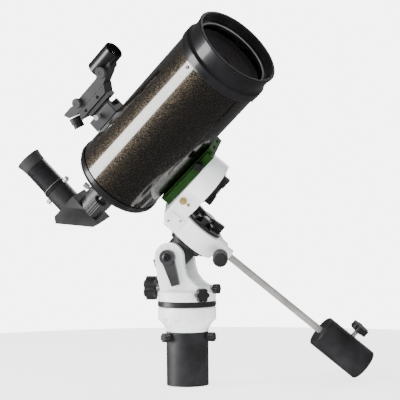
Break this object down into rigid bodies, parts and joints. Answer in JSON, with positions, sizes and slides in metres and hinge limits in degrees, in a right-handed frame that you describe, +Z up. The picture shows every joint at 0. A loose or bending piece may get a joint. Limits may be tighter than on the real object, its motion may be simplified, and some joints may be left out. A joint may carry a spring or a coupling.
{
  "type": "maksutov telescope",
  "caption": "Short closed-tube reflecting telescope with star diagonal, eyepiece and dot finder, on an equatorial head with counterweight and a pier tube.",
  "frame": {"origin": "centre of the pier tube's open lower end", "axes": "+Z up along the pier, +X under the raised front of the tube, the polar axis in the XZ plane"},
  "size_m": [0.4895, 0.2863, 0.5018],
  "materials": {
    "speckled_paint": "gloss black with fine metallic flake",
    "black_metal": "satin",
    "white_casting": "fine powder coat",
    "black_casting": "textured powder coat",
    "black_plastic": "moulded matte",
    "grey_plastic": "moulded satin",
    "rubber_grip": "matte",
    "steel": "turned",
    "bright_metal": "polished",
    "green_anodised": "satin anodised",
    "brass": "satin",
    "optical_glass": "polished",
    "mirror_coat": "polished"
  },
  "bodies": {
    "pier": {"pier_tube": "black_casting", "pier_head": "white_casting", "pier_screws": "black_plastic", "bearing_ring": "black_plastic", "azimuth_bolt": "steel"},
    "fork": {"fork": "white_casting", "tilt_bolt": "black_metal"},
    "lever": {"latitude_lever": "grey_plastic"},
    "latitude_screw": {"latitude_screw": "black_plastic"},
    "azimuth_lock": {"azimuth_lock": "black_plastic"},
    "azimuth_screw": {"azimuth_screw": "black_plastic"},
    "polar": {"polar_block": "black_casting", "polar_flange": "black_metal", "polar_shaft": "steel", "polar_cap": "black_plastic", "polar_nut": "black_plastic"},
    "arm": {"arm": "white_casting", "worm_cover": "white_casting", "counterweight_bar": "bright_metal", "bar_end_cap": "bright_metal"},
    "worm_shaft": {"dec_worm_shaft": "brass"},
    "slow_motion": {"slow_motion_knob": "rubber_grip"},
    "polar_clutch": {"polar_clutch": "black_plastic"},
    "dec_clutch": {"dec_clutch": "black_plastic"},
    "weight": {"counterweight": "black_casting"},
    "weight_lock": {"weight_lock_knob": "black_plastic"},
    "tube": {"tube": "speckled_paint", "rear_cell": "black_metal", "front_cell": "black_metal", "corrector": "optical_glass", "lens_ring": "black_metal", "secondary_baffle": "mirror_coat", "baffle_tube": "black_metal", "tube_screws": "black_metal", "saddle": "green_anodised", "saddle_jaw": "green_anodised", "dovetail_bar": "green_anodised", "dec_shaft": "steel", "visual_back": "grey_plastic", "finder_foot": "grey_plastic", "finder_clamp": "black_plastic", "finder_base": "grey_plastic", "finder_frame": "grey_plastic", "finder_tube": "black_metal", "finder_glass": "optical_glass", "finder_lamp": "black_plastic", "primary_mirror": "mirror_coat", "mirror_carrier": "black_metal", "focus_rod": "steel"},
    "focus": {"focus_knob": "grey_plastic"},
    "back_screw": {"back_screw": "bright_metal"},
    "diagonal": {"diagonal_body": "black_plastic", "diagonal_mirror": "mirror_coat", "diagonal_screws": "bright_metal"},
    "eyepiece": {"eyepiece_body": "black_metal", "eyepiece_lenses": "optical_glass"},
    "finder_power": {"finder_power_knob": "grey_plastic"},
    "finder_trim": {"finder_trim_knob": "grey_plastic"},
    "foot_screw": {"foot_screw": "bright_metal"},
    "saddle_knob": {"saddle_knob": "black_metal"}
  },
  "joints": [
    {"name": "azimuth_turn", "type": "hinge", "parent": "pier", "child": "fork", "pos_m": [0, 0, 0.12], "axis": [0, 0, 1], "continuous": true},
    {"name": "latitude_tilt", "type": "hinge", "parent": "fork", "child": "polar", "pos_m": [-0.0165, 0, 0.177], "axis": [0, 1, 0], "range_deg": [-20, 20]},
    {"name": "polar_turn", "type": "hinge", "parent": "polar", "child": "arm", "pos_m": [-0.0165, 0, 0.177], "axis": [0.6756, 0, 0.7373], "range_deg": [-60, 60]},
    {"name": "declination_turn", "type": "hinge", "parent": "arm", "child": "tube", "pos_m": [0.05714, 0, 0.25736], "axis": [0.6928, 0.342, -0.6348], "continuous": true},
    {"name": "latitude_lever_turn", "type": "hinge", "parent": "fork", "child": "lever", "pos_m": [-0.0165, 0, 0.177], "axis": [0, 1, 0], "range_deg": [-35, 35]},
    {"name": "latitude_screw_turn", "type": "hinge", "parent": "fork", "child": "latitude_screw", "pos_m": [-0.04, 0, 0.133], "axis": [-1, 0, 0], "continuous": true},
    {"name": "azimuth_lock_turn", "type": "hinge", "parent": "fork", "child": "azimuth_lock", "pos_m": [0, 0, 0.126], "axis": [0.6561, -0.7547, 0], "continuous": true},
    {"name": "azimuth_screw_turn", "type": "hinge", "parent": "fork", "child": "azimuth_screw", "pos_m": [0, 0, 0.133], "axis": [0.9848, -0.1736, 0], "continuous": true},
    {"name": "worm_turn", "type": "hinge", "parent": "arm", "child": "worm_shaft", "pos_m": [0.00162, -0.01573, 0.26076], "axis": [0.2522, -0.9397, -0.2311], "continuous": true},
    {"name": "slow_motion_turn", "type": "hinge", "parent": "arm", "child": "slow_motion", "pos_m": [0.04435, 0.01436, 0.18499], "axis": [0.2522, -0.9397, -0.2311], "continuous": true},
    {"name": "polar_clutch_turn", "type": "hinge", "parent": "arm", "child": "polar_clutch", "pos_m": [-0.0165, 0, 0.177], "axis": [0.6756, 0, 0.7373], "range_deg": [-30, 30]},
    {"name": "dec_clutch_turn", "type": "hinge", "parent": "arm", "child": "dec_clutch", "pos_m": [0.05714, 0, 0.25736], "axis": [0.6928, 0.342, -0.6348], "range_deg": [-30, 30]},
    {"name": "weight_slide", "type": "slide", "parent": "arm", "child": "weight", "axis": [0.6928, 0.342, -0.6348], "range_m": [-0.13, 0]},
    {"name": "weight_lock_turn", "type": "hinge", "parent": "weight", "child": "weight_lock", "pos_m": [0.19883, 0.09029, 0.04479], "axis": [0.6756, 0, 0.7373], "continuous": true},
    {"name": "focus_turn", "type": "hinge", "parent": "tube", "child": "focus", "pos_m": [-0.03133, -0.0757, 0.32197], "axis": [0.7211, -0.3168, 0.6162], "range_deg": [-720, 720]},
    {"name": "back_screw_turn", "type": "hinge", "parent": "tube", "child": "back_screw", "pos_m": [-0.12397, -0.0033, 0.25987], "axis": [-0.6928, -0.342, 0.6348], "continuous": true},
    {"name": "diagonal_swivel", "type": "hinge", "parent": "tube", "child": "diagonal", "pos_m": [-0.03168, -0.04385, 0.33875], "axis": [0.7211, -0.3168, 0.6162], "range_deg": [-90, 90]},
    {"name": "eyepiece_slide", "type": "slide", "parent": "diagonal", "child": "eyepiece", "axis": [-0.6726, -0.1063, 0.7323], "range_m": [0, 0.025]},
    {"name": "finder_power_turn", "type": "hinge", "parent": "tube", "child": "finder_power", "pos_m": [-0.09192, -0.06198, 0.43236], "axis": [-0.1665, -0.9425, -0.2897], "range_deg": [0, 270]},
    {"name": "finder_trim_turn", "type": "hinge", "parent": "tube", "child": "finder_trim", "pos_m": [-0.13528, -0.04213, 0.39269], "axis": [-0.1665, -0.9425, -0.2897], "range_deg": [-180, 180]},
    {"name": "foot_screw_turn", "type": "hinge", "parent": "tube", "child": "foot_screw", "pos_m": [-0.10308, -0.04221, 0.37446], "axis": [-0.1665, -0.9425, -0.2897], "continuous": true},
    {"name": "saddle_knob_turn", "type": "hinge", "parent": "tube", "child": "saddle_knob", "pos_m": [0.03582, -0.03071, 0.31521], "axis": [0.0097, -0.8847, -0.4661], "continuous": true}
  ]
}
